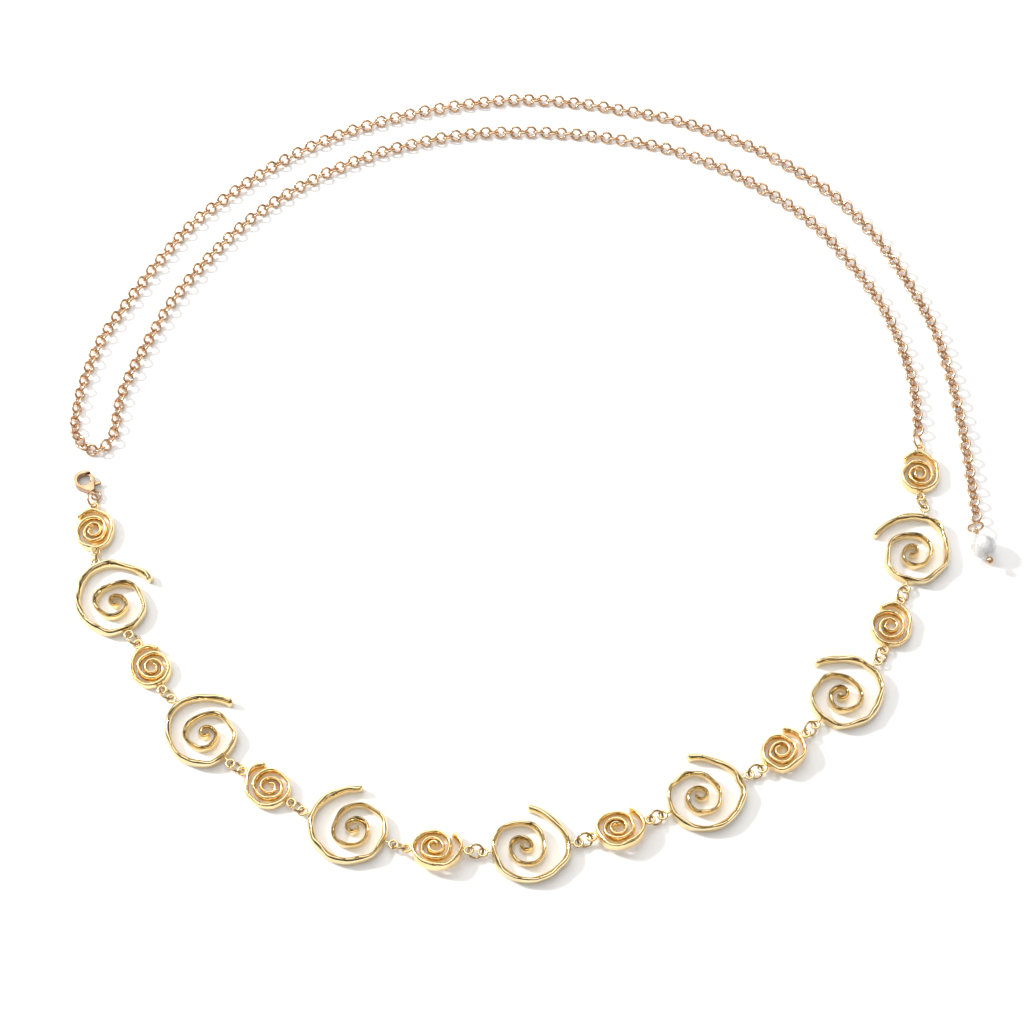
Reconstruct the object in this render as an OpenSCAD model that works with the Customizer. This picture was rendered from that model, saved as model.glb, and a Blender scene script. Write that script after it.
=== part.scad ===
// Waist chain of cast spirals, jump rings, a lobster clasp, a long rolo chain and a pearl drop.
// It lies flat on z = 0, seen with the string of spirals in front and the rolo chain behind.

/* [Large spirals] */
// Reach of the outer turn from the spiral's centre
large_reach = 14; // [13:0.1:15]
// Height of the wall
large_height = 4.4; // [3.8:0.1:5.4]
// Thickness of the wall in the outer turn
large_wall = 2.3; // [1.8:0.1:2.6]
// Distance between the holes of the two eyes
large_span = 32.4; // [31.6:0.1:36]

/* [Small spirals] */
// Reach of the outer turn from the spiral's centre
small_reach = 8.2; // [7.8:0.1:8.6]
// Height of the wall
small_height = 3.8; // [3.4:0.1:4.6]
// Thickness of the wall in the outer turn
small_wall = 1.4; // [1:0.05:1.45]
// Distance between the holes of the two eyes
small_span = 19.7; // [19.5:0.1:24]

/* [Eyes and jump rings] */
// Diameter of an eye's hole
eye_hole = 2; // [1.9:0.05:2.2]
// Diameter of an eye's wire
eye_wire = 0.8; // [0.6:0.05:0.9]
// Outer diameter of a jump ring between two spirals
ring_size = 5.6; // [5.2:0.1:6]
// Outer diameter of the jump rings by the clasp, the rolo chain and the drop
end_ring_size = 6.1; // [5.8:0.1:6.6]
// Diameter of a jump ring's wire
ring_wire = 0.8; // [0.5:0.05:0.8]

/* [Rolo chain] */
// Outer diameter of a round link
link_size = 4.5; // [4:0.1:5]
// Diameter of a link's wire
link_wire = 0.8; // [0.5:0.05:0.9]

/* [Lobster clasp] */
// Outer diameter of the claw
claw_size = 7.2; // [7:0.1:7.4]
// Inner diameter of the claw
claw_hole = 4.5; // [4.3:0.1:4.6]
// Distance from the eye to the middle of the claw
claw_length = 7.2; // [7.2:0.1:7.8]
// Inner diameter of the clasp's own eye
clasp_eye = 2.5; // [2.45:0.05:2.6]
// Thickness of the clasp
clasp_depth = 3; // [2.8:0.1:3.2]
// Thickness of the lever
lever_depth = 1.2; // [0.9:0.05:1.3]
// Diameter of the lever's pin
pin_size = 0.9; // [0.7:0.05:1]
// Play between the pin and the lever's bore, on the radius
pin_play = 0.04; // [0.02:0.01:0.08]
// Gap between the lever and the clasp
lever_gap = 0.1; // [0.08:0.01:0.15]

/* [Pearl drop] */
// Diameter of the pearl across its hole
pearl_width = 9; // [8:0.1:10]
// Length of the pearl along its hole
pearl_length = 9.6; // [8.5:0.1:11]
// Diameter of the pin through the pearl and of its loop's wire
drop_pin = 0.7; // [0.5:0.05:0.8]
// Diameter of the bead on the pin's end
drop_bead = 2.8; // [1.8:0.1:3.2]

/* [Hidden] */
$fn = 48;

// Play between pieces that hang in or bear on each other
play = 0.1;

// Kinds of piece in the string
RING = 0;
SMALL = 1;
LARGE = 2;

// Ways a cast spiral can lie: tail to the right, turned over, or turned end for end
TAIL_RIGHT = 0;
TURNED_OVER = 1;
END_FOR_END = 2;

// The string from the clasp to the rolo chain: kind, heading, way it lies (for a ring, how far
// it is from taut, as a share of its middle diameter), and lean about its own line of eyes,
// which lifts a spiral's outer side or lays a ring's top inwards; and the sizes of the wall and
// of the span of the eyes, as each cast spiral is worked by hand and differs a little
STRING = [
    [SMALL, -84, END_FOR_END, 0, 0.97, 0.89],
    [RING, -86, 0.12, 12, 1, 1],
    [LARGE, -64, TURNED_OVER, 0, 1.03, 0.94],
    [RING, -46, 0, -47, 1, 1],
    [SMALL, -61, TURNED_OVER, 0, 0.97, 0.97],
    [RING, -46, 0, -47, 1, 1],
    [LARGE, -48, TURNED_OVER, 0, 0.97, 0.97],
    [RING, -31, 0, -47, 1, 1],
    [SMALL, -34, TURNED_OVER, 0, 1.02, 1.02],
    [RING, -38, 0, -47, 1, 1],
    [LARGE, -21, TURNED_OVER, 0, 1, 1],
    [RING, -21, 0, -34, 1, 1],
    [SMALL, -2, TAIL_RIGHT, 12, 1.03, 1.03],
    [RING, -4, 0, 47, 1, 1],
    [LARGE, 6, TAIL_RIGHT, 0, 0.97, 0.97],
    [RING, 20, 0, 47, 1, 1],
    [SMALL, 17, TAIL_RIGHT, 12, 1.02, 1.02],
    [RING, 26, 0, 47, 1, 1],
    [LARGE, 26, TAIL_RIGHT, 0, 1, 1],
    [RING, 24, 0, 47, 1, 1],
    [SMALL, 40, TAIL_RIGHT, 8, 1, 1],
    [RING, 44, 0, 47, 1, 1],
    [LARGE, 46, TAIL_RIGHT, 0, 1, 1],
    [RING, 60, 0, 47, 1, 1],
    [SMALL, 70, TAIL_RIGHT, 0, 1, 1],
    [RING, 64, 0, 47, 1, 1],
    [LARGE, 74, TAIL_RIGHT, 0, 1, 1],
    [RING, 105, 0, 47, 1, 1],
    [SMALL, 86, TAIL_RIGHT, 0, 0.98, 0.98]
];
// Place and row of the large spiral that the string is hung from
ANCHOR = [1.5, -145];
ANCHOR_ROW = 14;

// Middle lines of the walls from the tail inwards, as shares of the reach, with the eyes on X
LARGE_PATH = [
    [0.04, 1.04], [0.21, 0.97], [0.36, 0.88], [0.51, 0.77], [0.64, 0.64], [0.75, 0.49],
    [0.84, 0.33], [0.89, 0.17], [0.9, 0.01], [0.89, -0.14], [0.84, -0.29], [0.74, -0.44],
    [0.61, -0.56], [0.47, -0.66], [0.3, -0.74], [0.13, -0.79], [-0.06, -0.81], [-0.23, -0.79],
    [-0.4, -0.72], [-0.55, -0.63], [-0.69, -0.52], [-0.8, -0.39], [-0.86, -0.22], [-0.89, -0.04],
    [-0.88, 0.14], [-0.83, 0.3], [-0.74, 0.45], [-0.63, 0.56], [-0.5, 0.61], [-0.34, 0.64],
    [-0.19, 0.65], [-0.04, 0.62], [0.09, 0.56], [0.19, 0.46], [0.26, 0.35], [0.31, 0.21],
    [0.33, 0.05], [0.32, -0.1], [0.27, -0.22], [0.18, -0.33], [0.06, -0.39], [-0.09, -0.4],
    [-0.21, -0.37], [-0.34, -0.31], [-0.43, -0.21], [-0.48, -0.1], [-0.48, 0.02], [-0.43, 0.15],
    [-0.34, 0.23], [-0.22, 0.26], [-0.09, 0.24], [0, 0.17], [0.04, 0.07], [0.01, -0.02],
    [-0.06, -0.06], [-0.14, -0.06], [-0.21, 0.01], [-0.21, 0.11]
];
SMALL_PATH = [
    [0.56, 0.71], [0.8, 0.44], [0.9, 0.14], [0.85, -0.2], [0.67, -0.49], [0.4, -0.68],
    [0.11, -0.74], [-0.17, -0.75], [-0.44, -0.67], [-0.68, -0.52], [-0.83, -0.29], [-0.9, -0.02],
    [-0.87, 0.26], [-0.74, 0.5], [-0.53, 0.67], [-0.28, 0.74], [-0.04, 0.74], [0.18, 0.66],
    [0.36, 0.51], [0.47, 0.32], [0.5, 0.1], [0.48, -0.11], [0.38, -0.29], [0.23, -0.41],
    [0.04, -0.47], [-0.17, -0.47], [-0.37, -0.4], [-0.52, -0.26], [-0.6, -0.06], [-0.59, 0.14],
    [-0.49, 0.31], [-0.34, 0.42], [-0.17, 0.46], [0, 0.43], [0.13, 0.34], [0.2, 0.22],
    [0.23, 0.09], [0.2, -0.04], [0.13, -0.15], [0.02, -0.21], [-0.1, -0.22], [-0.21, -0.19],
    [-0.3, -0.12], [-0.34, -0.02], [-0.34, 0.08], [-0.29, 0.17], [-0.21, 0.23], [-0.12, 0.24],
    [-0.04, 0.2], [0.02, 0.14]
];
// Thickness of the wall's inner end as a share of the outer turn's
LARGE_TAPER = 0.6;
SMALL_TAPER = 0.65;
// Section of the wall: shares of half the thickness, and of the height
WALL_SECTION = [
    [-1, 0], [1, 0], [0.95, 0.3], [0.7, 0.7], [0.2, 1], [-0.2, 1], [-0.7, 0.7], [-0.95, 0.3]
];
// Hammered look of the wall's top: depth as a share of the height, and degrees from ring to ring
DENT_DEPTH = 0.06;
DENT_STEP = 130;

// Headings and leans of the other rings
CLASP_RING_HEADING = 88;
CLASP_RING_LEAN = 33;
START_RING_HEADING = 90;
START_RING_LEAN = 40;
DROP_RING_HEADING = 33;
DROP_RING_LEAN = -52;
// Distance between the wires that an end ring holds, as a share of its middle diameter
END_RING_SHARE = 0.9;
// Heading of the clasp from its eye
CLASP_HEADING = 128;
// The clasp's metal round the lever's pin, the room between that and the claw's hole, how far
// the pin lies off the middle line, and the length of the neck between eye and body
HUB_WALL = 0.5;
HUB_ROOM = 0.4;
PIN_OFFSET = 0.4;
NECK_LENGTH = 0.5;
// How far the lever's end lies past the claw's middle, as a share of the claw's outer radius
LEVER_END = 0.5;
// The lever's arm from its hub: heading and length past the hub
ARM_HEADING = 35;
ARM_LENGTH = 0.9;
// The lever's thumb tab: its corner from the pin, its heading, width, and what its length is
// short of the claw's outer radius
TAB_CORNER = [1, 0.8];
TAB_HEADING = 105;
TAB_WIDTH = 1.1;
TAB_SHORT = 0.2;
// Thickness of an eye's stem as a share of its wire, and how far the clasp's stem enters its body
STEM_SHARE = 0.9;
STEM_DEPTH = 0.3;
// Places on the drop's ring, in degrees, where the chain and the drop's loop hang
CHAIN_PLACE = -45;
LOOP_PLACE = 120;
// Heading of the drop from its loop, and how far its loop's end dips
DROP_HEADING = -75;
DROP_DIP = 8;
// Lean of the rolo chain's links, which lie one to each side in turn
LINK_LEAN = 45;

// Route of the rolo chain from the start ring, as steps from that ring's far side:
// round the back to the turn by the clasp, and back again to the drop
CHAIN_ROUTE = [
    [0, 0], [-0.5, 19], [-4, 37.5], [-11, 56.5], [-21, 73.5], [-33, 89.5], [-47, 102], [-64, 113],
    [-82, 121.5], [-101, 126.5], [-121, 129.5], [-141, 130.5], [-161, 129.5], [-180, 125.5],
    [-198, 119.5], [-216, 110.5], [-232, 99.5], [-246, 86.5], [-258, 71.5], [-268, 56],
    [-276, 38.5], [-283, 20.5], [-285, 9.5], [-285.5, 1.5], [-288, -4.5], [-292, -6.5],
    [-296, -4.5], [-299.5, 1.5], [-299.5, 11.5], [-298, 21.5], [-293, 39], [-284, 56],
    [-274, 73], [-263, 89], [-248.5, 103], [-233, 115.5], [-217, 125.5], [-199, 133.5],
    [-180, 139.5], [-160, 143.5], [-141, 145.5], [-121, 144], [-102, 140.5], [-83, 136],
    [-65, 129], [-48, 120], [-32, 108.5], [-18, 94.5], [-7, 78.5], [2, 60.5], [9, 42.5],
    [13, 24], [15.5, 4], [16.8, -15], [17.8, -34]
];
// Row of the turn by the clasp, where the chain's two strands meet
TURN_ROW = 25;
// Rings of the chain's tube for each step of the route
CHAIN_STEPS = 1.5;
CHAIN_SIDES = 8;

function unit(angle) = [cos(angle), sin(angle)];
function flat(p) = [p[0], p[1]];
function lift(p, z) = [p[0], p[1], z];

// Smooth curve through a table's rows at place t of its first column, for another column
function row_at(rows, t, i = 0) =
    i >= len(rows) - 2 || t < rows[i + 1][0] ? i : row_at(rows, t, i + 1);
function slope(rows, i, col) =
    let (a = max(i - 1, 0), b = min(i + 1, len(rows) - 1))
    (rows[b][col] - rows[a][col]) / (rows[b][0] - rows[a][0]);
function smooth_step(p, q, m, n, s) =
    (2 * pow(s, 3) - 3 * pow(s, 2) + 1) * p + (pow(s, 3) - 2 * pow(s, 2) + s) * m
    + (3 * pow(s, 2) - 2 * pow(s, 3)) * q + (pow(s, 3) - pow(s, 2)) * n;
function curve_at(rows, t, col) =
    let (i = row_at(rows, t), w = rows[i + 1][0] - rows[i][0])
    smooth_step(rows[i][col], rows[i + 1][col],
        slope(rows, i, col) * w, slope(rows, i + 1, col) * w, (t - rows[i][0]) / w);

// Direction across a line of points at point k, to the left of its run
function across(points, k) =
    let (d = points[min(k + 1, len(points) - 1)] - points[max(k - 1, 0)])
    [-d[1], d[0]] / norm(d);

large_line = large_reach * LARGE_PATH;
small_line = small_reach * SMALL_PATH;
small_side = max([for (p = small_line) p[1]]) + small_wall / 2;

// Where the wall first crosses the line of the eyes, on the right or on the left
function crossing(line, side) = [
    for (k = [0:len(line) - 2]) if (line[k][0] * side > 0 && line[k][1] * line[k + 1][1] <= 0)
        line[k][0] + (line[k + 1][0] - line[k][0]) * line[k][1] / (line[k][1] - line[k + 1][1])
][0];

// Columns of the string's table, and the sizes of a piece by its row
function kind(i) = STRING[i][0];
function heading(i) = STRING[i][1];
function lies(i) = STRING[i][2];
function lean(i) = STRING[i][3];
function share(i) = STRING[i][4];
function eye_share(i) = STRING[i][5];
function spiral_height(i) = kind(i) == LARGE ? large_height : small_height;
function eye_rise(i) = spiral_height(i) / 2 * cos(lean(i)) + share(i) * small_side * sin(lean(i));
ring_span = ring_size - ring_wire;
function ring_climb(i) = eye_rise(i + 1) - eye_rise(i - 1);
function span(i) =
    kind(i) == LARGE ? eye_share(i) * large_span :
    kind(i) == SMALL ? eye_share(i) * small_span :
    sqrt(pow((1 - lies(i)) * ring_span, 2) - pow(ring_climb(i), 2));
last_row = len(STRING) - 1;

// Where each piece of the string starts, from the clasp's end, and where the last one ends
STARTS = [
    for (i = 0, p = [0, 0]; i <= last_row + 1;
        p = i > last_row ? p : p + span(i) * unit(heading(i)), i = i + 1) p
];
anchor_shift = ANCHOR - (STARTS[ANCHOR_ROW] + STARTS[ANCHOR_ROW + 1]) / 2;
function start_of(i) = STARTS[i] + anchor_shift;
string_start = start_of(0);
string_end = start_of(last_row + 1);
LARGE_ROWS = [for (i = [0:last_row]) if (kind(i) == LARGE) i];
SMALL_ROWS = [for (i = [0:last_row]) if (kind(i) == SMALL) i];
RING_ROWS = [for (i = [0:last_row]) if (kind(i) == RING) i];

// Faces of a tube of rings: its sides in triangles and a fan over each end
function tube_faces(rings, sides) = concat(
    [for (k = [0:rings - 2], j = [0:sides - 1])
        [k * sides + j, k * sides + (j + 1) % sides, (k + 1) * sides + (j + 1) % sides]],
    [for (k = [0:rings - 2], j = [0:sides - 1])
        [k * sides + j, (k + 1) * sides + (j + 1) % sides, (k + 1) * sides + j]],
    [for (j = [1:sides - 2]) [0, j + 1, j]],
    [for (j = [1:sides - 2])
        [(rings - 1) * sides, (rings - 1) * sides + j, (rings - 1) * sides + j + 1]]
);

// Wall that stands on z = 0 along a line, thinner towards the line's end, with a dented top
module spiral_wall(line, height, wall, taper) {
    rings = len(line);
    vertices = [
        for (k = [0:rings - 1], s = WALL_SECTION)
            let (
                half = wall / 2 * (1 + (taper - 1) * k / (rings - 1)),
                dent = s[1] == 1 ? DENT_DEPTH * (1 + sin(DENT_STEP * k)) / 2 : 0
            )
            lift(line[k] - s[0] * half * across(line, k), height * (s[1] - dent))
    ];
    polyhedron(vertices, tube_faces(rings, len(WALL_SECTION)));
}

eye_mean = eye_hole + eye_wire;

module round_ring(mean, wire) {
    rotate_extrude() translate([mean / 2, 0]) circle(d = wire);
}

// Eye on the line of eyes, with the stem that joins it to the wall
module eye(span, wall_x, height) {
    side = sign(wall_x);
    translate([side * span / 2, 0, height / 2]) round_ring(eye_mean, eye_wire);
    translate([wall_x, 0, height / 2]) rotate([0, side * 90, 0])
        cylinder(d = eye_wire * STEM_SHARE, h = (span - eye_mean) / 2 - abs(wall_x));
}

module large_casting(share, eye_share) {
    spiral_wall(share * large_line, large_height, large_wall, LARGE_TAPER);
    for (side = [-1, 1])
        eye(eye_share * large_span, share * crossing(large_line, side), large_height);
}

module small_casting(share, eye_share) {
    spiral_wall(share * small_line, small_height, small_wall, SMALL_TAPER);
    for (side = [-1, 1])
        eye(eye_share * small_span, share * crossing(small_line, side), small_height);
}

// Puts a cast spiral on its row of the string, resting on z = 0
module on_row(i) {
    middle = (start_of(i) + start_of(i + 1)) / 2;
    translate(lift(middle, eye_rise(i))) rotate([0, 0, heading(i)]) rotate([-lean(i), 0, 0])
        translate([0, 0, -spiral_height(i) / 2])
            rotate([0, 0, lies(i) == END_FOR_END ? 180 : 0])
                mirror([lies(i) == TURNED_OVER ? 1 : 0, 0, 0]) children();
}

module large_spiral(n) {
    color([0.86, 0.72, 0.42]) on_row(LARGE_ROWS[n - 1])
        large_casting(share(LARGE_ROWS[n - 1]), eye_share(LARGE_ROWS[n - 1]));
}

module small_spiral(n) {
    color([0.86, 0.70, 0.40]) on_row(SMALL_ROWS[n - 1])
        small_casting(share(SMALL_ROWS[n - 1]), eye_share(SMALL_ROWS[n - 1]));
}

// Ring through two points, leaning about the line between them, with its middle above that line
module ring_between(a, b, lean, size) {
    d = b - a;
    mean = size - ring_wire;
    raised = sqrt(max(pow(mean, 2) - pow(norm(d), 2), 0)) / 2;
    translate((a + b) / 2) rotate([0, -asin(d[2] / norm(d)), atan2(d[1], d[0])])
        rotate([90 - lean, 0, 0]) translate([0, raised, 0]) round_ring(mean, ring_wire);
}

module link_ring(n) {
    i = RING_ROWS[n - 1];
    color([0.84, 0.68, 0.38]) ring_between(
        lift(start_of(i), eye_rise(i - 1)), lift(start_of(i + 1), eye_rise(i + 1)),
        lean(i), ring_size);
}

// The ring between the clasp's eye and the first spiral's
end_mean = end_ring_size - ring_wire;
end_span = END_RING_SHARE * end_mean;
clasp_rise = clasp_depth / 2;
clasp_climb = clasp_rise - eye_rise(0);
clasp_place =
    string_start + sqrt(pow(end_span, 2) - pow(clasp_climb, 2)) * unit(CLASP_RING_HEADING);

module clasp_ring() {
    color([0.86, 0.62, 0.42]) ring_between(
        lift(string_start, eye_rise(0)), lift(clasp_place, clasp_rise),
        CLASP_RING_LEAN, end_ring_size);
}

// The clasp's own plane: its eye at the origin and its claw's middle on +X
claw_r = claw_size / 2;
hole_r = claw_hole / 2;
clasp_eye_mean = clasp_eye + eye_wire;
neck_x = clasp_eye_mean / 2 + NECK_LENGTH;
neck_r = eye_hole / 2;
hub_r = pin_size / 2 + HUB_WALL;
pivot = [claw_length - hole_r - hub_r - HUB_ROOM, PIN_OFFSET];
lever_r = claw_length - pivot[0] + LEVER_END * claw_r;
// Side of a square that covers the whole clasp
cover = 3 * claw_size;
slot_depth = lever_depth + 2 * lever_gap;

// Four corners of the band that touches two circles on the X axis
module band(x0, r0, x1, r1) {
    lead = acos((r0 - r1) / (x1 - x0));
    polygon([
        [x0 + r0 * cos(lead), r0 * sin(lead)], [x1 + r1 * cos(lead), r1 * sin(lead)],
        [x1 + r1 * cos(lead), -r1 * sin(lead)], [x0 + r0 * cos(lead), -r0 * sin(lead)]
    ]);
}

module clasp_outline() {
    difference() {
        union() {
            translate([claw_length, 0]) circle(r = claw_r);
            band(neck_x, neck_r, claw_length, claw_r);
        }
        translate([claw_length, 0]) circle(r = hole_r);
    }
}

// The lever's side of the pivot, out to the lever's end, with a gap around it
module lever_space(gap) {
    intersection() {
        translate(pivot) circle(r = lever_r + gap);
        translate(pivot - [hub_r + gap, hub_r + gap]) square(cover);
    }
}

module clasp_body() {
    color([0.87, 0.62, 0.42]) on_clasp() {
        difference() {
            translate([0, 0, -clasp_rise]) linear_extrude(clasp_depth) clasp_outline();
            translate([0, 0, -slot_depth / 2]) linear_extrude(slot_depth)
                lever_space(lever_gap);
            translate([0, 0, -clasp_depth]) linear_extrude(2 * clasp_depth) intersection() {
                lever_space(lever_gap);
                translate([claw_length - hole_r, pivot[1]]) square(cover);
            }
        }
        round_ring(clasp_eye_mean, eye_wire);
        translate([clasp_eye_mean / 2, 0, 0]) rotate([0, 90, 0])
            cylinder(d = eye_wire, h = NECK_LENGTH + STEM_DEPTH);
        translate(lift(pivot, -clasp_rise)) cylinder(d = pin_size, h = clasp_depth);
    }
}

module lever_outline() {
    intersection() {
        difference() {
            translate([claw_length, 0]) circle(r = claw_r);
            translate([claw_length, 0]) circle(r = hole_r);
        }
        lever_space(0);
        translate(pivot) square(cover);
    }
    translate(pivot) circle(r = hub_r);
    translate(pivot) rotate(ARM_HEADING) translate([0, -hub_r / 2])
        square([hub_r + ARM_LENGTH, hub_r]);
    translate(pivot + TAB_CORNER) rotate(TAB_HEADING) square([claw_r - TAB_SHORT, TAB_WIDTH]);
}

module clasp_lever() {
    color([0.87, 0.62, 0.42]) on_clasp() difference() {
        translate([0, 0, -lever_depth / 2]) linear_extrude(lever_depth) lever_outline();
        translate(lift(pivot, -lever_depth))
            cylinder(d = pin_size + 2 * pin_play, h = 2 * lever_depth);
    }
}

module on_clasp() {
    translate(lift(clasp_place, clasp_rise)) rotate([0, 0, CLASP_HEADING]) mirror([0, 1, 0])
        children();
}

// The rolo chain's width and middle height, from links that lean to each side in turn
chain_width = (link_size - link_wire) * cos(LINK_LEAN) + link_wire;
chain_rise = chain_width / 2;
start_climb = chain_rise - eye_rise(last_row);
chain_place =
    string_end + sqrt(pow(end_span, 2) - pow(start_climb, 2)) * unit(START_RING_HEADING);

module start_ring() {
    color([0.86, 0.62, 0.42]) ring_between(
        lift(string_end, eye_rise(last_row)), lift(chain_place, chain_rise),
        START_RING_LEAN, end_ring_size);
}

// The chain's line starts and ends just clear of its rings
ring_clear = (end_mean - end_span) / 2 + ring_wire / 2 + play;
ROUTE = [for (i = [0:len(CHAIN_ROUTE) - 1]) concat([i], CHAIN_ROUTE[i])];
route_start = chain_place + ring_clear * unit(START_RING_HEADING);
function route_point(t) = route_start + [curve_at(ROUTE, t, 1), curve_at(ROUTE, t, 2)];
route_last = len(CHAIN_ROUTE) - 1;
turn_ring = round(TURN_ROW * CHAIN_STEPS);
last_ring = turn_ring + round((route_last - TURN_ROW) * CHAIN_STEPS);
chain_line = [
    for (k = [0:last_ring]) route_point(k <= turn_ring
        ? TURN_ROW * k / turn_ring
        : TURN_ROW + (route_last - TURN_ROW) * (k - turn_ring) / (last_ring - turn_ring))
];

// Plain tube of the chain's width over some rings of its line, its flat side on z = 0
module chain_tube(first, last, trim_first, trim_last) {
    corner = chain_rise / cos(180 / CHAIN_SIDES);
    vertices = [
        for (k = [first:last], j = [0:CHAIN_SIDES - 1])
            let (
                a = 360 * (j + 0.5) / CHAIN_SIDES,
                side = across(chain_line, k),
                trim = k == first ? trim_first : k == last ? -trim_last : 0
            )
            lift(chain_line[k] - corner * cos(a) * side + trim * [side[1], -side[0]],
                chain_rise + corner * sin(a))
    ];
    polyhedron(vertices, tube_faces(last - first + 1, CHAIN_SIDES));
}

module chain_inner() {
    color([0.83, 0.58, 0.38]) chain_tube(0, turn_ring, 0, play / 2);
}

module chain_outer() {
    color([0.83, 0.58, 0.38]) chain_tube(turn_ring, last_ring, play / 2, 0);
}

// The drop hangs by its loop on the end ring, and the pearl rests on z = 0
loop_mean = eye_hole + drop_pin;
loop_distance = pearl_length / 2 + play + (loop_mean + drop_pin) / 2;
bead_distance = pearl_length / 2 + play + drop_bead / 2;
pearl_rise = norm([pearl_length / 2 * sin(DROP_DIP), pearl_width / 2 * cos(DROP_DIP)]);
loop_rise = pearl_rise - loop_distance * sin(DROP_DIP);

// Step from the end ring's middle to a place on it
function ring_step(place) =
    let (across_top = -sin(DROP_RING_LEAN) * sin(place))
    end_mean / 2 * [
        cos(place) * cos(DROP_RING_HEADING) + across_top * sin(DROP_RING_HEADING),
        cos(place) * sin(DROP_RING_HEADING) - across_top * cos(DROP_RING_HEADING),
        sin(place) * cos(DROP_RING_LEAN)
    ];
chain_end = chain_line[last_ring];
chain_end_run = chain_end - chain_line[last_ring - 1];
end_ring_flat = chain_end + (ring_wire / 2 + play) * chain_end_run / norm(chain_end_run)
    - flat(ring_step(CHAIN_PLACE));
end_ring_middle = lift(end_ring_flat, loop_rise - ring_step(LOOP_PLACE)[2]);

module end_ring() {
    color([0.86, 0.62, 0.42]) translate(end_ring_middle) rotate([0, 0, DROP_RING_HEADING])
        rotate([90 - DROP_RING_LEAN, 0, 0]) round_ring(end_mean, ring_wire);
}

// The drop's own line: its loop's middle at the origin, and the pearl along +X
module on_drop() {
    translate(end_ring_middle + ring_step(LOOP_PLACE))
        rotate([0, -DROP_DIP, DROP_HEADING]) children();
}

module head_pin() {
    color([0.86, 0.62, 0.42]) on_drop() {
        rotate([90, 0, 0]) round_ring(loop_mean, drop_pin);
        translate([loop_mean / 2, 0, 0]) rotate([0, 90, 0])
            cylinder(d = drop_pin, h = loop_distance + bead_distance - loop_mean / 2);
        translate([loop_distance + bead_distance, 0, 0]) sphere(d = drop_bead);
    }
}

module pearl() {
    bore = drop_pin + 2 * play;
    color([0.95, 0.94, 0.92]) on_drop() translate([loop_distance, 0, 0]) rotate([0, 90, 0])
        difference() {
            rotate_extrude() polygon([
                for (a = [0:7.5:180]) [pearl_width * sin(a), -pearl_length * cos(a)] / 2
            ]);
            cylinder(d = bore, h = 2 * pearl_length, center = true);
        }
}

clasp_body();
clasp_lever();
clasp_ring();
for (n = [1:len(SMALL_ROWS)])
    small_spiral(n);
for (n = [1:len(LARGE_ROWS)])
    large_spiral(n);
for (n = [1:len(RING_ROWS)])
    link_ring(n);
start_ring();
chain_inner();
chain_outer();
end_ring();
head_pin();
pearl();
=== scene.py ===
import math
import random

import bpy
from mathutils import Matrix, Vector, noise


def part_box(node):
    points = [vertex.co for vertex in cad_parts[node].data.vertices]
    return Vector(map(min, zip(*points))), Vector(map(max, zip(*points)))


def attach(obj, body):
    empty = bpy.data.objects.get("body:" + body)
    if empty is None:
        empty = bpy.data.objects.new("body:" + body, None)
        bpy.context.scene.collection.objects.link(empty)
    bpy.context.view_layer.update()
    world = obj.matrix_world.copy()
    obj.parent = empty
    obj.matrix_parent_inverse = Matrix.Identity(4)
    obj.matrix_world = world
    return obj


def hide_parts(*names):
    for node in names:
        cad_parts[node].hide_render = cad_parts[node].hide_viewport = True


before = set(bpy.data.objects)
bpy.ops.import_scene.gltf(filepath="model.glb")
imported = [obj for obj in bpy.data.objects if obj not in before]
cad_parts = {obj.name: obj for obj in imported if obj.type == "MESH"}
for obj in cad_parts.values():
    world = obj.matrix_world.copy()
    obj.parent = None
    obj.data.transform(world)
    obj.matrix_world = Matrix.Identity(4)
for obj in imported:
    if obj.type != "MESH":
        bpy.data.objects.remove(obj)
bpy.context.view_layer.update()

# Lengths below are in millimetres unless their name says otherwise
MM = 0.001

# Camera
LOOK_AT = Vector((-4.6, -20.7, 0))
CAMERA_HEIGHT = 794.6
CAMERA_TILT = 63
FOCAL_IN_WIDTHS = 2.488
SENSOR_WIDTH = 36

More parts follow.
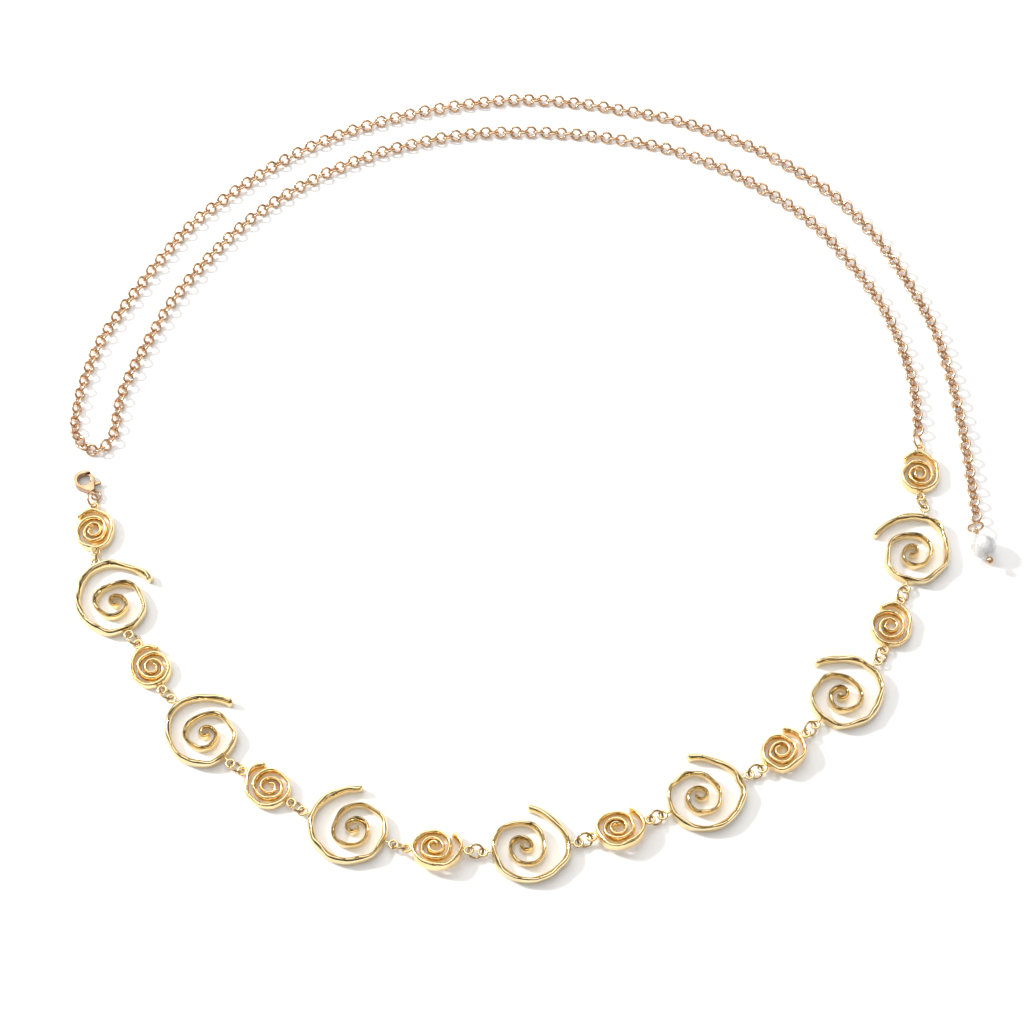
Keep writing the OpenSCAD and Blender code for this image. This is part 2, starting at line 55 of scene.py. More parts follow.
# Cast spirals, with the sizes of part.scad
RING, SMALL, LARGE = "ring", "small", "large"
TAIL_RIGHT, TURNED_OVER, END_FOR_END = "tail_right", "turned_over", "end_for_end"
STRING = [
    # kind, heading, way it lies or a ring's slack, lean, wall's size, span's size
    (SMALL, -84, END_FOR_END, 0, 0.97, 0.89),
    (RING, -86, 0.12, 12, 1, 1),
    (LARGE, -64, TURNED_OVER, 0, 1.03, 0.94),
    (RING, -46, 0, -47, 1, 1),
    (SMALL, -61, TURNED_OVER, 0, 0.97, 0.97),
    (RING, -46, 0, -47, 1, 1),
    (LARGE, -48, TURNED_OVER, 0, 0.97, 0.97),
    (RING, -31, 0, -47, 1, 1),
    (SMALL, -34, TURNED_OVER, 0, 1.02, 1.02),
    (RING, -38, 0, -47, 1, 1),
    (LARGE, -21, TURNED_OVER, 0, 1, 1),
    (RING, -21, 0, -34, 1, 1),
    (SMALL, -2, TAIL_RIGHT, 12, 1.03, 1.03),
    (RING, -4, 0, 47, 1, 1),
    (LARGE, 6, TAIL_RIGHT, 0, 0.97, 0.97),
    (RING, 20, 0, 47, 1, 1),
    (SMALL, 17, TAIL_RIGHT, 12, 1.02, 1.02),
    (RING, 26, 0, 47, 1, 1),
    (LARGE, 26, TAIL_RIGHT, 0, 1, 1),
    (RING, 24, 0, 47, 1, 1),
    (SMALL, 40, TAIL_RIGHT, 8, 1, 1),
    (RING, 44, 0, 47, 1, 1),
    (LARGE, 46, TAIL_RIGHT, 0, 1, 1),
    (RING, 60, 0, 47, 1, 1),
    (SMALL, 70, TAIL_RIGHT, 0, 1, 1),
    (RING, 64, 0, 47, 1, 1),
    (LARGE, 74, TAIL_RIGHT, 0, 1, 1),
    (RING, 105, 0, 47, 1, 1),
    (SMALL, 86, TAIL_RIGHT, 0, 0.98, 0.98),
]
ANCHOR = Vector((1.5, -145))
ANCHOR_ROW = 14

# Middle lines of the walls from the tail inwards, as shares of the reach, the same as in part.scad
LARGE_PATH = [
    (0.04, 1.04), (0.21, 0.97), (0.36, 0.88), (0.51, 0.77), (0.64, 0.64), (0.75, 0.49),
    (0.84, 0.33), (0.89, 0.17), (0.9, 0.01), (0.89, -0.14), (0.84, -0.29), (0.74, -0.44),
    (0.61, -0.56), (0.47, -0.66), (0.3, -0.74), (0.13, -0.79), (-0.06, -0.81), (-0.23, -0.79),
    (-0.4, -0.72), (-0.55, -0.63), (-0.69, -0.52), (-0.8, -0.39), (-0.86, -0.22), (-0.89, -0.04),
    (-0.88, 0.14), (-0.83, 0.3), (-0.74, 0.45), (-0.63, 0.56), (-0.5, 0.61), (-0.34, 0.64),
    (-0.19, 0.65), (-0.04, 0.62), (0.09, 0.56), (0.19, 0.46), (0.26, 0.35), (0.31, 0.21),
    (0.33, 0.05), (0.32, -0.1), (0.27, -0.22), (0.18, -0.33), (0.06, -0.39), (-0.09, -0.4),
    (-0.21, -0.37), (-0.34, -0.31), (-0.43, -0.21), (-0.48, -0.1), (-0.48, 0.02), (-0.43, 0.15),
    (-0.34, 0.23), (-0.22, 0.26), (-0.09, 0.24), (0, 0.17), (0.04, 0.07), (0.01, -0.02),
    (-0.06, -0.06), (-0.14, -0.06), (-0.21, 0.01), (-0.21, 0.11),
]
SMALL_PATH = [
    (0.56, 0.71), (0.8, 0.44), (0.9, 0.14), (0.85, -0.2), (0.67, -0.49), (0.4, -0.68),
    (0.11, -0.74), (-0.17, -0.75), (-0.44, -0.67), (-0.68, -0.52), (-0.83, -0.29), (-0.9, -0.02),
    (-0.87, 0.26), (-0.74, 0.5), (-0.53, 0.67), (-0.28, 0.74), (-0.04, 0.74), (0.18, 0.66),
    (0.36, 0.51), (0.47, 0.32), (0.5, 0.1), (0.48, -0.11), (0.38, -0.29), (0.23, -0.41),
    (0.04, -0.47), (-0.17, -0.47), (-0.37, -0.4), (-0.52, -0.26), (-0.6, -0.06), (-0.59, 0.14),
    (-0.49, 0.31), (-0.34, 0.42), (-0.17, 0.46), (0, 0.43), (0.13, 0.34), (0.2, 0.22),
    (0.23, 0.09), (0.2, -0.04), (0.13, -0.15), (0.02, -0.21), (-0.1, -0.22), (-0.21, -0.19),
    (-0.3, -0.12), (-0.34, -0.02), (-0.34, 0.08), (-0.29, 0.17), (-0.21, 0.23), (-0.12, 0.24),
    (-0.04, 0.2), (0.02, 0.14),
]

# Eyes and rings: the eyes' wire is shown a little thicker than the solid's, and a ring's mean is
# the diameter of its wire's middle line
EYE_HOLE = 2
EYE_WIRE = 0.8
EYE_SHOWN_WIRE = 0.95
STEM_SHARE = 0.9
RING_WIRE = 0.8
RING_MEAN = 5.6 - RING_WIRE
END_RING_MEAN = 6.1 - RING_WIRE
END_RING_SHARE = 0.9
START_RING_HEADING = 90
PLAY = 0.1

# Sections of the walls: shares of half the thickness and of the height
LARGE_SECTION = [
    (-0.96, 0), (-1.02, 0.06), (-1.02, 0.5), (-1, 0.66), (-0.9, 0.77), (-0.68, 0.86), (-0.44, 0.93),
    (-0.2, 0.98), (0, 1), (0.2, 0.98), (0.44, 0.93), (0.68, 0.86), (0.9, 0.77), (1, 0.66),
    (1.02, 0.5), (1.02, 0.06), (0.96, 0),
]
SMALL_SECTION = [
    (-1, 0), (-1.15, 0.12), (-1.24, 0.36), (-1.25, 0.55), (-1.14, 0.73), (-0.92, 0.86), (-0.64, 0.94),
    (-0.32, 0.985), (0, 1), (0.32, 0.985), (0.64, 0.94), (0.92, 0.86), (1.14, 0.73), (1.25, 0.55),
    (1.24, 0.36), (1.15, 0.12), (1, 0),
]

# Spacing of the sections along a wall, and parts of its curve between two points
STEP = 0.45
CURVE_PARTS = 12
CASTINGS = {
    LARGE: {"path": LARGE_PATH, "section": LARGE_SECTION,
            "reach": 14, "height": 4.4, "wall": 2.3, "taper": 0.6, "span": 32.4},
    SMALL: {"path": SMALL_PATH, "section": SMALL_SECTION,
            "reach": 8.2, "height": 3.8, "wall": 1.4, "taper": 0.75, "span": 19.7},
}

# Hammering of the walls: shares of the half thickness or of the height, apart from the dents' depth,
# and the length of each wave along the wall; each casting's noise starts a step from the last one's
WIDTH_WAVE = 0.22
WIDTH_WAVE_LENGTH = 4.6
TOP_WAVE = 0.05
TOP_WAVE_LENGTH = 4.3
RIDGE_SWAY = 1.3
RIDGE_SWAY_LENGTH = 5.2
DENT_DEPTH = 0.08
DENT_LENGTH = 3.4
DENTS_UP_THE_WALL = 2.2
END_PINCH = 0.85
END_DIP = 0.12
NOISE_SLICE = 0.37
FIRST_SEED = 1
SEED_STEP = 3.1

# Rolo chain: its links lie to each side in turn and stray a few degrees from that, and its route
# is given in steps from the start ring's far side, the same as in part.scad
LINK_MEAN = 3.78
LINK_WIRE = 0.92
LINK_PITCH = 2.86
LINK_LEAN = 45
LEAN_STRAY = 6
HEADING_STRAY = 3
STRAY_SEED = 7
ROUTE_PARTS = 40
CHAIN_ROUTE = [
    (0, 0), (-0.5, 19), (-4, 37.5), (-11, 56.5), (-21, 73.5), (-33, 89.5), (-47, 102), (-64, 113),
    (-82, 121.5), (-101, 126.5), (-121, 129.5), (-141, 130.5), (-161, 129.5), (-180, 125.5),
    (-198, 119.5), (-216, 110.5), (-232, 99.5), (-246, 86.5), (-258, 71.5), (-268, 56),
    (-276, 38.5), (-283, 20.5), (-285, 9.5), (-285.5, 1.5), (-288, -4.5), (-292, -6.5),
    (-296, -4.5), (-299.5, 1.5), (-299.5, 11.5), (-298, 21.5), (-293, 39), (-284, 56), (-274, 73),
    (-263, 89), (-248.5, 103), (-233, 115.5), (-217, 125.5), (-199, 133.5), (-180, 139.5),
    (-160, 143.5), (-141, 145.5), (-121, 144), (-102, 140.5), (-83, 136), (-65, 129), (-48, 120),
    (-32, 108.5), (-18, 94.5), (-7, 78.5), (2, 60.5), (9, 42.5), (13, 24), (15.5, 4), (16.8, -15),
    (17.8, -34),
]
TURN_ROW = 25

# Softening of the clasp's edges
SOFT_VOXEL = 0.08
SOFT_ROUNDS = 30

# Pearl drop
DROP_HEADING = -75
DROP_DIP = 8
PEARL_WIDTH = 9
PEARL_LENGTH = 9.6
PEARL_ROWS = 48
PEARL_COLUMNS = 64
PEARL_SWELL = 0.05
PEARL_SWELL_SCALE = 1.7
PEARL_DENT = 0.03
PEARL_DENT_SCALE = 4.1
PEARL_SHRINK = 0.04

# Light: the key light's and the floor's sizes are in metres, and the cards are the
# bright and dark spots that break up the room's walls
KEY_PLACE = (-1.3, 0.42, 0.98)
KEY_SIZE = 0.2
KEY_WATTS = 26
SOFTBOX_WAY = (-0.15, 0.5, 0.86)
SOFTBOX_LIGHT = 2
WALL_LIGHT = 0.54
HORIZON_LIGHT = 0.17
CARD_SCALE = 3.2
CARD_DARK = 0.25
CARD_BRIGHT = 1.7
FRONT_DARKNESS = 0.9
FLOOR_SIDE = 8
FLOOR_DROP = 0.02
FLOOR_GLOW = 0.13
# Painted light: the pearl's faint glow, which keeps its shaded side light
PEARL_PAINTED_GLOW = 0.16

# Plating: noise scales to the metre, the depth of its dents, and how much rougher worn spots are
DRIFT_SCALE = 180
WEAR_SCALE = 900
PLATING_DENT = 0.3
WEAR = 0.12


def unit(angle):
    return Vector((math.cos(math.radians(angle)), math.sin(math.radians(angle))))


# Meshes

def add_piece(name, vertices, faces, material, nodes, sharp=50):
    mesh = bpy.data.meshes.new(name)
    mesh.from_pydata([Vector(v) * MM for v in vertices], [], faces)
    mesh.validate()
    mesh.shade_smooth()
    mesh.set_sharp_from_angle(angle=math.radians(sharp))
    mesh.materials.append(material)
    piece = bpy.data.objects.new(name, mesh)
    bpy.context.scene.collection.objects.link(piece)
    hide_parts(*nodes)
    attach(piece, "chain")
    return piece


def tube_faces(rings, sides, closed=False):
    faces = []
    for k in range(rings if closed else rings - 1):
        m = (k + 1) % rings
        for j in range(sides):
            i = (j + 1) % sides
            faces.append((k * sides + j, k * sides + i, m * sides + i, m * sides + j))
    if not closed:
        faces.append(tuple(reversed(range(sides))))
        faces.append(tuple((rings - 1) * sides + j for j in range(sides)))
    return faces


def torus(mean, wire, around=28, sides=10):
    """Ring about Z in the XY plane."""
    vertices = []
    for k in range(around):
        a = 2 * math.pi * k / around
        for j in range(sides):
            b = 2 * math.pi * j / sides
            r = mean / 2 + wire / 2 * math.cos(b)
            vertices.append(Vector((r * math.cos(a), r * math.sin(a), wire / 2 * math.sin(b))))
    return vertices, tube_faces(around, sides, closed=True)


def rod(start, end, radius, sides=12):
    axis = (end - start).normalized()
    turn = axis.to_track_quat("Z", "Y")
    vertices = []
    for centre in (start, end):
        for j in range(sides):
            b = 2 * math.pi * j / sides
            vertices.append(centre + turn @ Vector((radius * math.cos(b), radius * math.sin(b), 0)))
    return vertices, tube_faces(2, sides)


def joined(*shapes):
    vertices, faces = [], []
    for more_vertices, more_faces in shapes:
        first = len(vertices)
        vertices += more_vertices
        faces += [tuple(first + i for i in face) for face in more_faces]
    return vertices, faces


def smooth_line(points, step):
    """Catmull-Rom curve through the points, at even steps of about the given length."""
    fine = []
    for i in range(len(points) - 1):
        p0 = points[max(i - 1, 0)]
        p1, p2 = points[i], points[i + 1]
        p3 = points[min(i + 2, len(points) - 1)]
        for k in range(CURVE_PARTS):
            t = k / CURVE_PARTS
            fine.append(0.5 * (2 * p1 + (p2 - p0) * t + (2 * p0 - 5 * p1 + 4 * p2 - p3) * t ** 2
                               + (3 * p1 - p0 - 3 * p2 + p3) * t ** 3))
    fine.append(points[-1].copy())
    return even_steps(fine, step)


def even_steps(points, step):
    lengths = [0]
    for a, b in zip(points, points[1:]):
        lengths.append(lengths[-1] + (b - a).length)
    count = max(2, round(lengths[-1] / step))
    line, i = [], 0
    for k in range(count + 1):
        s = lengths[-1] * k / count
        while i < len(points) - 2 and lengths[i + 1] < s:
            i += 1
        t = (s - lengths[i]) / (lengths[i + 1] - lengths[i])
        line.append(points[i].lerp(points[i + 1], min(max(t, 0), 1)))
    return line


# Cast spirals

def wave(place, period, seed):
    return noise.noise(Vector((place / period, seed, NOISE_SLICE)))


def wall(line, section, height, thickness, taper, seed):
    """Hammered wall along a line: its thickness, height and ridge wander as hand work does."""
    vertices = []
    last = len(line) - 1
    for k, point in enumerate(line):
        run = line[min(k + 1, last)] - line[max(k - 1, 0)]
        side = Vector((-run.y, run.x)).normalized()
        place = k * STEP
        near_end = 1 - min(1, min(k, last - k) * STEP / (thickness / 2))
        half = thickness / 2 * (1 + (taper - 1) * k / last)
        half *= 1 + WIDTH_WAVE * wave(place, WIDTH_WAVE_LENGTH, seed)
        half *= math.sqrt(1 - END_PINCH * near_end ** 2)
        top_wave = TOP_WAVE * (1 + wave(place, TOP_WAVE_LENGTH, seed + 5))
        top = height * (1 - top_wave - END_DIP * near_end ** 2)
        sway = RIDGE_SWAY * wave(place, RIDGE_SWAY_LENGTH, seed + 9)
        for across, rise in section:
            spot = Vector((place / DENT_LENGTH, rise * DENTS_UP_THE_WALL + across, seed + 2))
            dent = DENT_DEPTH * noise.noise(spot)
            offset = half * (across + sway * rise ** 2) + dent * math.copysign(1, across)
            flat = point + side * offset
            vertices.append(Vector((flat.x, flat.y, top * rise)))
    return vertices, tube_faces(len(line), len(section))


def crossing(line, side):
    """Where a wall first crosses the line of its eyes, on the right or on the left."""
    for a, b in zip(line, line[1:]):
        if a.x * side > 0 and a.y * b.y <= 0:
            return a.x + (b.x - a.x) * a.y / (a.y - b.y)


def eye(span, wall_x, height):
    """Soldered eye at one end of a casting, with the stem that joins it to the wall."""
    side = math.copysign(1, wall_x)
    mean = EYE_HOLE + EYE_WIRE
    centre = Vector((side * span / 2, 0, height / 2))
    loop, loop_faces = torus(mean, EYE_SHOWN_WIRE)
    stem_end = centre - Vector((side * mean / 2, 0, 0))
    stem = rod(Vector((wall_x, 0, height / 2)), stem_end, EYE_SHOWN_WIRE * STEM_SHARE / 2)
    return joined(([v + centre for v in loop], loop_faces), stem)


def casting(kind, share, eye_share, seed):
    """Spiral wall with its two eyes, lying flat about the origin."""
    spec = CASTINGS[kind]
    points = [Vector(p) * spec["reach"] * share for p in spec["path"]]
    line = smooth_line(points, STEP)
    shapes = [wall(line, spec["section"], spec["height"], spec["wall"], spec["taper"], seed)]
    for side in (-1, 1):
        shapes.append(eye(spec["span"] * eye_share, crossing(points, side), spec["height"]))
    return joined(*shapes)


def small_side():
    """How far a small casting reaches to the side of its line of eyes."""
    spec = CASTINGS[SMALL]
    return max(p[1] for p in spec["path"]) * spec["reach"] + spec["wall"] / 2


def eye_rise(row):
    """Height of a casting's line of eyes, which its lean lifts."""
    kind, _, _, lean, share, _ = row
    lean = math.radians(lean)
    return CASTINGS[kind]["height"] / 2 * math.cos(lean) + share * small_side() * math.sin(lean)


def row_span(i):
    """Length of a row of the string as seen from above."""
    kind, _, slack, _, _, eye_share = STRING[i]
    if kind != RING:
        return eye_share * CASTINGS[kind]["span"]
    climb = eye_rise(STRING[i + 1]) - eye_rise(STRING[i - 1])
    return math.sqrt(((1 - slack) * RING_MEAN) ** 2 - climb ** 2)


def string_starts():
    """Start of each row and the end of the last, with the string hung from its anchor row."""
    starts = [Vector((0, 0))]
    for i, row in enumerate(STRING):
        starts.append(starts[-1] + row_span(i) * unit(row[1]))
    shift = ANCHOR - (starts[ANCHOR_ROW] + starts[ANCHOR_ROW + 1]) / 2
    return [p + shift for p in starts]


def placed(i, starts):
    """Matrix that puts a cast spiral on its row of the string."""
    kind, heading, lies, lean, _, _ = STRING[i]
    middle = (starts[i] + starts[i + 1]) / 2
    m = Matrix.Translation((middle.x, middle.y, eye_rise(STRING[i])))
    m = m @ Matrix.Rotation(math.radians(heading), 4, "Z") @ Matrix.Rotation(math.radians(-lean), 4, "X")
    m = m @ Matrix.Translation((0, 0, -CASTINGS[kind]["height"] / 2))
    if lies == END_FOR_END:
        m = m @ Matrix.Rotation(math.pi, 4, "Z")
    if lies == TURNED_OVER:
        m = m @ Matrix.Scale(-1, 4, (1, 0, 0))
    return m


def add_castings(starts, materials):
    counts = {SMALL: 0, LARGE: 0}
    for i, row in enumerate(STRING):
        kind = row[0]
        if kind == RING:
            continue
        counts[kind] += 1
        vertices, faces = casting(kind, row[4], row[5], SEED_STEP * i + FIRST_SEED)
        m = placed(i, starts)
        if m.determinant() < 0:
            faces = [tuple(reversed(face)) for face in faces]
        name = f"{kind}_spiral_{counts[kind]}"
        add_piece(name, [m @ v for v in vertices], faces, materials[kind],
                  [f"spiral_{kind}_{counts[kind]}"])


# Rolo chain

def hermite_route(points, start):
    """The same smooth route as in part.scad, in fine steps, and the place of the turn on it."""
    line, turn = [], 0
    last = len(points) - 1
    tangents = [
        (points[min(i + 1, last)] - points[max(i - 1, 0)]) / (min(i + 1, last) - max(i - 1, 0))
        for i in range(last + 1)
    ]
    for i in range(last):
        if i == TURN_ROW:
            turn = len(line)
        for k in range(ROUTE_PARTS):
            s = k / ROUTE_PARTS
            line.append(start + (2 * s ** 3 - 3 * s ** 2 + 1) * points[i]
                        + (s ** 3 - 2 * s ** 2 + s) * tangents[i]
                        + (3 * s ** 2 - 2 * s ** 3) * points[i + 1]
                        + (s ** 3 - s ** 2) * tangents[i + 1])
    line.append(start + points[-1])
    return line, turn


def chain_start(starts):
    """Start of the chain's route, where its first link hangs in the start ring with some play."""
    climb = LINK_MEAN / 2 * math.cos(math.radians(LINK_LEAN)) + LINK_WIRE / 2 - eye_rise(STRING[-1])
    span = END_RING_SHARE * END_RING_MEAN
    reach = math.sqrt(span ** 2 - climb ** 2) + (END_RING_MEAN - span) / 2 + RING_WIRE / 2 + PLAY
    return starts[-1] + reach * unit(START_RING_HEADING)


def add_chain(start, material):
    """Round links that hang in each other, each leaning the other way than the last."""
    route, turn = hermite_route([Vector(p) for p in CHAIN_ROUTE], start)
    turn_length = sum((b - a).length for a, b in zip(route[:turn], route[1:turn + 1]))
    line = even_steps(route, LINK_PITCH)
    ring, ring_faces = torus(LINK_MEAN, LINK_WIRE, around=20, sides=8)
    rng = random.Random(STRAY_SEED)
    groups = {"inner": [], "outer": []}
    length = 0
    for k in range(len(line) - 1):
        a, b = line[k], line[k + 1]
        middle = (a + b) / 2
        length += (b - a).length
        lean = (LINK_LEAN if k % 2 else -LINK_LEAN) + rng.uniform(-LEAN_STRAY, LEAN_STRAY)
        stray = math.radians(rng.uniform(-HEADING_STRAY, HEADING_STRAY))
        heading = math.atan2(b.y - a.y, b.x - a.x) + stray
        rise = LINK_MEAN / 2 * math.cos(math.radians(lean)) + LINK_WIRE / 2
        m = Matrix.Translation((middle.x, middle.y, rise)) @ Matrix.Rotation(heading, 4, "Z")
        m = m @ Matrix.Rotation(math.radians(90 - lean), 4, "X")
        group = "inner" if length <= turn_length else "outer"
        groups[group].append(([m @ v for v in ring], ring_faces))
    for group, links in groups.items():
        vertices, faces = joined(*links)
        add_piece(f"rolo_chain_{group}", vertices, faces, material, [f"chain_{group}"])


# Pearl

def add_pearl(material):
    """Slightly uneven pearl, kept inside the CAD pearl by its shrink."""
    lo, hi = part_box("pearl")
    centre = (lo + hi) / 2 / MM
    axis = Matrix.Rotation(math.radians(DROP_HEADING), 3, "Z")
    axis = axis @ Matrix.Rotation(math.radians(-DROP_DIP), 3, "Y")
    half = Vector((PEARL_LENGTH, PEARL_WIDTH, PEARL_WIDTH)) / 2
    vertices = []
    for i in range(PEARL_ROWS + 1):
        lat = math.pi * i / PEARL_ROWS
        for j in range(PEARL_COLUMNS):
            lon = 2 * math.pi * j / PEARL_COLUMNS
            d = Vector((-math.cos(lat), math.sin(lat) * math.cos(lon), math.sin(lat) * math.sin(lon)))
            swell = PEARL_SWELL * noise.noise(d * PEARL_SWELL_SCALE)
            dent = PEARL_DENT * noise.noise(d * PEARL_DENT_SCALE)
            vertices.append(centre + axis @ (d * half) * (1 + swell + dent - PEARL_SHRINK))
    faces = tube_faces(PEARL_ROWS + 1, PEARL_COLUMNS)
    add_piece("baroque_pearl", vertices, faces, material, ["pearl"])


# Clasp

def add_softened(name, node, body, material):
    """The CAD node with its edges rounded as cast and polished metal has them."""
    piece = bpy.data.objects.new(name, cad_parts[node].data.copy())
    bpy.context.scene.collection.objects.link(piece)
    remesh = piece.modifiers.new("remesh", "REMESH")
    remesh.mode = "VOXEL"
    remesh.voxel_size = SOFT_VOXEL * MM
    smooth = piece.modifiers.new("smooth", "SMOOTH")
    smooth.factor = 0.5
    smooth.iterations = SOFT_ROUNDS
    shown = piece.evaluated_get(bpy.context.evaluated_depsgraph_get())
    mesh = bpy.data.meshes.new_from_object(shown)
    piece.modifiers.clear()
    piece.data = mesh
    mesh.shade_smooth()
    mesh.materials.clear()
    mesh.materials.append(material)
    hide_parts(node)
    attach(piece, body)


# Materials

def new_material(name):
    material = bpy.data.materials.new(name)
    material.use_nodes = True
    nodes = material.node_tree.nodes
    return material, nodes, material.node_tree.links, nodes["Principled BSDF"]


def noise_node(nodes, links, scale, detail=3, roughness=0.5):
    coords = nodes.new("ShaderNodeTexCoord")
    texture = nodes.new("ShaderNodeTexNoise")
    texture.inputs["Scale"].default_value = scale
    texture.inputs["Detail"].default_value = detail
    texture.inputs["Roughness"].default_value = roughness
    links.new(coords.outputs["Object"], texture.inputs["Vector"])
    return texture


def mapped(nodes, links, value, low, high, start=0.3, end=0.7):
    ranged = nodes.new("ShaderNodeMapRange")
    ranged.inputs["From Min"].default_value = start
    ranged.inputs["From Max"].default_value = end
    ranged.inputs["To Min"].default_value = low
    ranged.inputs["To Max"].default_value = high
    links.new(value, ranged.inputs["Value"])
    return ranged.outputs["Result"]


def two_colours(nodes, links, value, first, second):
    ramp = nodes.new("ShaderNodeValToRGB")
    ramp.color_ramp.elements[0].position = 0.35
    ramp.color_ramp.elements[1].position = 0.65
    ramp.color_ramp.elements[0].color = (*first, 1)
    ramp.color_ramp.elements[1].color = (*second, 1)
    links.new(value, ramp.inputs["Fac"])
    return ramp.outputs["Color"]


def bump(nodes, links, height, distance, strength):
    node = nodes.new("ShaderNodeBump")
    node.inputs["Distance"].default_value = distance
    node.inputs["Strength"].default_value = strength
    links.new(height, node.inputs["Height"])
    return node.outputs["Normal"]


def gold(name, first, second, hammer, roughness, dents=520):
    """Polished plating with a faint drift of colour, soft dents and fine wear."""
    material, nodes, links, shader = new_material(name)
    shader.inputs["Metallic"].default_value = 1
    drift = noise_node(nodes, links, DRIFT_SCALE)
    links.new(two_colours(nodes, links, drift.outputs["Fac"], first, second), shader.inputs["Base Color"])
    wear = noise_node(nodes, links, WEAR_SCALE, detail=5)
    worn = mapped(nodes, links, wear.outputs["Fac"], roughness, roughness + WEAR)
    links.new(worn, shader.inputs["Roughness"])
    dented = noise_node(nodes, links, dents, detail=1)
    links.new(bump(nodes, links, dented.outputs["Fac"], PLATING_DENT * MM, hammer), shader.inputs["Normal"])
    return material


def pearl_material():
    """Milky, softly clouded pearl under a clear coat, with a faint painted glow that lightens its shaded
    side.
    """
    material, nodes, links, shader = new_material("white_pearl")
    cloud = noise_node(nodes, links, 320, detail=4)
    links.new(two_colours(nodes, links, cloud.outputs["Fac"], (0.42, 0.42, 0.43), (0.67, 0.67, 0.66)),
              shader.inputs["Base Color"])
    # Painted light: the pearl glows faintly so that its shaded side stays light
    shader.inputs["Emission Color"].default_value = (1, 0.99, 0.99, 1)
    shader.inputs["Emission Strength"].default_value = PEARL_PAINTED_GLOW
    shader.inputs["Roughness"].default_value = 0.3
    shader.inputs["Subsurface Weight"].default_value = 1
    shader.inputs["Subsurface Scale"].default_value = 3 * MM
    shader.inputs["Subsurface Radius"].default_value = (1, 0.96, 0.92)
    shader.inputs["Coat Weight"].default_value = 0.7
    shader.inputs["Coat Roughness"].default_value = 0.12
    ripple = noise_node(nodes, links, 600, detail=2)
    links.new(bump(nodes, links, ripple.outputs["Fac"], 0.8 * MM, 0.7), shader.inputs["Normal"])
    return material


def dress_nodes(prefixes, material):
    for name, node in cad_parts.items():
        if any(name.startswith(prefix) for prefix in prefixes):
            node.data.materials.clear()
            node.data.materials.append(material)


# Stage

def add_camera():
    data = bpy.data.cameras.new("camera")
    data.sensor_width = SENSOR_WIDTH
    data.lens = SENSOR_WIDTH * FOCAL_IN_WIDTHS
    camera = bpy.data.objects.new("camera", data)
    bpy.context.scene.collection.objects.link(camera)
    back = CAMERA_HEIGHT / math.tan(math.radians(CAMERA_TILT))
    camera.location = (LOOK_AT + Vector((0, -back, CAMERA_HEIGHT))) * MM
    camera.rotation_euler = (math.radians(90 - CAMERA_TILT), 0, 0)
    bpy.context.scene.camera = camera


def add_floor():
    mesh = bpy.data.meshes.new("floor")
    half = FLOOR_SIDE / 2
    corners = [(-half, -half, 0), (half, -half, 0), (half, half, 0), (-half, half, 0)]
    mesh.from_pydata(corners, [], [(0, 1, 2, 3)])
    floor = bpy.data.objects.new("floor", mesh)
    bpy.context.scene.collection.objects.link(floor)
    material, nodes, links, shader = new_material("white_floor")
    shader.inputs["Base Color"].default_value = (0.93, 0.93, 0.93, 1)
    shader.inputs["Roughness"].default_value = 0.9
    shader.inputs["Specular IOR Level"].default_value = 0.1
    shader.inputs["Emission Color"].default_value = (1, 1, 1, 1)
    shader.inputs["Emission Strength"].default_value = FLOOR_GLOW
    mesh.materials.append(material)
    floor.location.z = -FLOOR_DROP * MM


def add_key_light():
    data = bpy.data.lights.new("key", "AREA")
    data.shape = "SQUARE"
    data.size = KEY_SIZE
    data.energy = KEY_WATTS
    data.color = (1, 0.98, 0.95)
    light = bpy.data.objects.new("key", data)
    light.location = KEY_PLACE
    light.rotation_euler = (-light.location).to_track_quat("-Z", "Y").to_euler()
    bpy.context.scene.collection.objects.link(light)


def maths(nodes, links, operation, first, second):
    node = nodes.new("ShaderNodeMath")
    node.operation = operation
    for socket, value in zip(node.inputs, (first, second)):
        if isinstance(value, (int, float)):
            socket.default_value = value
        else:
            links.new(value, socket)
    return node.outputs["Value"]


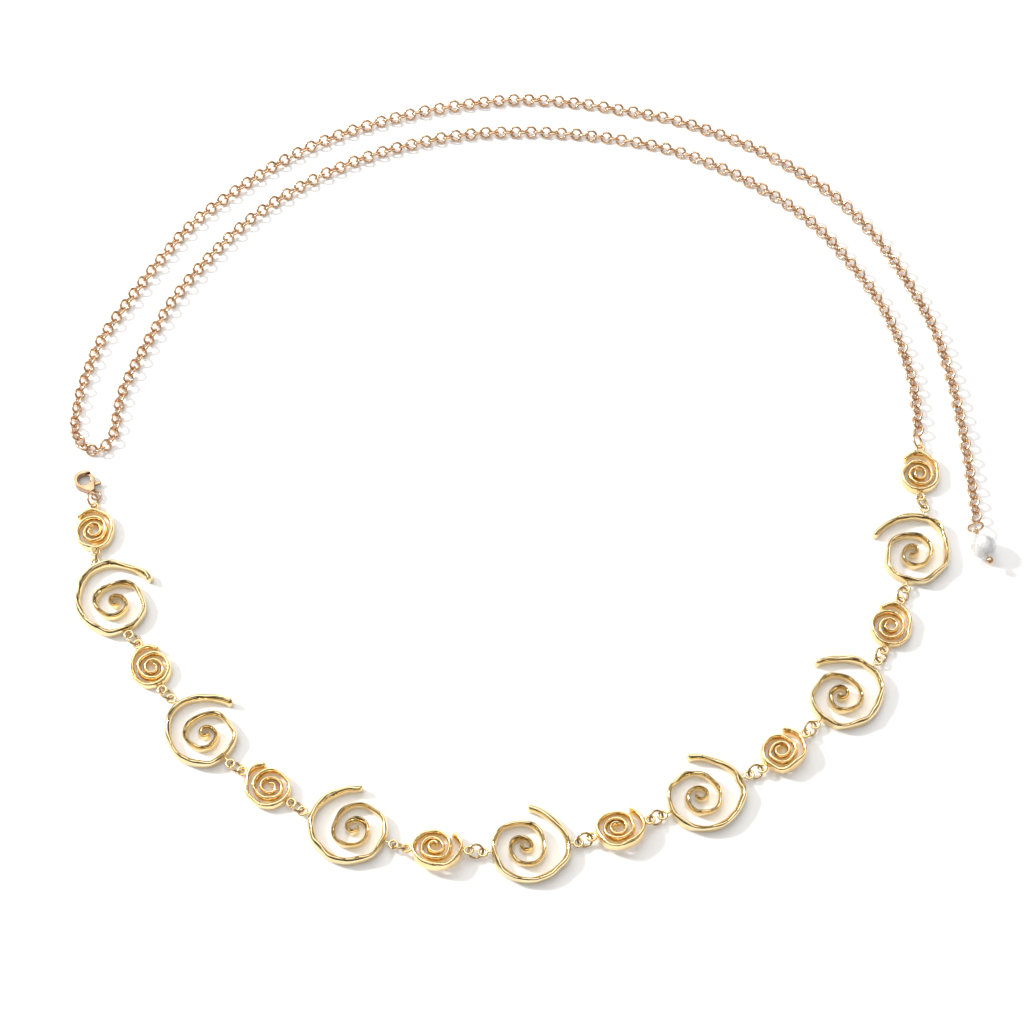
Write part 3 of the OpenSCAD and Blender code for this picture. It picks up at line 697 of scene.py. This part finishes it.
def add_world():
    """Dim studio with a bright softbox above and behind, and the dark room low in front."""
    world = bpy.data.worlds.new("studio")
    bpy.context.scene.world = world
    world.use_nodes = True
    nodes, links = world.node_tree.nodes, world.node_tree.links
    background = nodes["Background"]
    coords = nodes.new("ShaderNodeTexCoord")
    parts = nodes.new("ShaderNodeSeparateXYZ")
    links.new(coords.outputs["Generated"], parts.inputs["Vector"])
    toward = nodes.new("ShaderNodeVectorMath")
    toward.operation = "DOT_PRODUCT"
    links.new(coords.outputs["Generated"], toward.inputs[0])
    toward.inputs[1].default_value = Vector(SOFTBOX_WAY).normalized()
    walls = mapped(nodes, links, parts.outputs["Z"], HORIZON_LIGHT, WALL_LIGHT, start=0.05, end=0.4)
    cards = nodes.new("ShaderNodeTexNoise")
    cards.inputs["Scale"].default_value = CARD_SCALE
    cards.inputs["Detail"].default_value = 0
    links.new(coords.outputs["Generated"], cards.inputs["Vector"])
    carded = mapped(nodes, links, cards.outputs["Fac"], CARD_DARK, CARD_BRIGHT, start=0.44, end=0.56)
    walls = maths(nodes, links, "MULTIPLY", walls, carded)
    box = mapped(nodes, links, toward.outputs["Value"], 0, SOFTBOX_LIGHT, start=0.86, end=0.95)
    front = mapped(nodes, links, parts.outputs["Y"], 1, 0, start=-0.75, end=-0.35)
    low = mapped(nodes, links, parts.outputs["Z"], 1, 0, start=0.35, end=0.65)
    dark = maths(nodes, links, "MULTIPLY", maths(nodes, links, "MULTIPLY", front, low), FRONT_DARKNESS)
    light = maths(nodes, links, "MULTIPLY", maths(nodes, links, "ADD", walls, box),
                  maths(nodes, links, "SUBTRACT", 1, dark))
    links.new(light, background.inputs["Strength"])
    tint = nodes.new("ShaderNodeMix")
    tint.data_type = "RGBA"
    tint.inputs["A"].default_value = (1, 0.99, 0.98, 1)
    tint.inputs["B"].default_value = (1, 0.8, 0.55, 1)
    links.new(dark, tint.inputs["Factor"])
    links.new(tint.outputs["Result"], background.inputs["Color"])


add_camera()
bpy.context.scene.view_settings.view_transform = "Standard"
add_floor()
add_key_light()
add_world()

cast_gold = gold("cast_gold", (0.9, 0.74, 0.45), (0.81, 0.64, 0.35), hammer=0.12, roughness=0.08)
warm_gold = gold("warm_gold", (0.98, 0.77, 0.43), (0.94, 0.69, 0.35), hammer=0.5, roughness=0.14, dents=900)
# The clasp keeps its own rose tone but is darkened further as painted shade, to tone down the bright
# softbox reflection on its flat top
clasp_gold_painted_shade = gold("clasp_gold_painted_shade", (0.54, 0.36, 0.23), (0.39, 0.25, 0.14),
                  hammer=0.9, roughness=0.16, dents=380)
# The rings' gold is darker than the castings' gold as painted shade, standing for the shade and dark
# reflections among the linked rings
ring_gold_painted_shade = gold("ring_gold_painted_shade", (0.66, 0.48, 0.26), (0.5, 0.34, 0.16), hammer=0.4, roughness=0.08, dents=900)
rose_gold = gold("rose_gold", (0.82, 0.58, 0.39), (0.68, 0.45, 0.28), hammer=0.3, roughness=0.1)
starts = string_starts()
add_castings(starts, {LARGE: cast_gold, SMALL: warm_gold})
add_chain(chain_start(starts), rose_gold)
add_pearl(pearl_material())
add_softened("lobster_body", "clasp_body", "chain", clasp_gold_painted_shade)
add_softened("lobster_lever", "clasp_lever", "lever", clasp_gold_painted_shade)
dress_nodes(["link_ring"], ring_gold_painted_shade)
dress_nodes(["clasp_ring", "start_ring", "end_ring", "head_pin"], rose_gold)
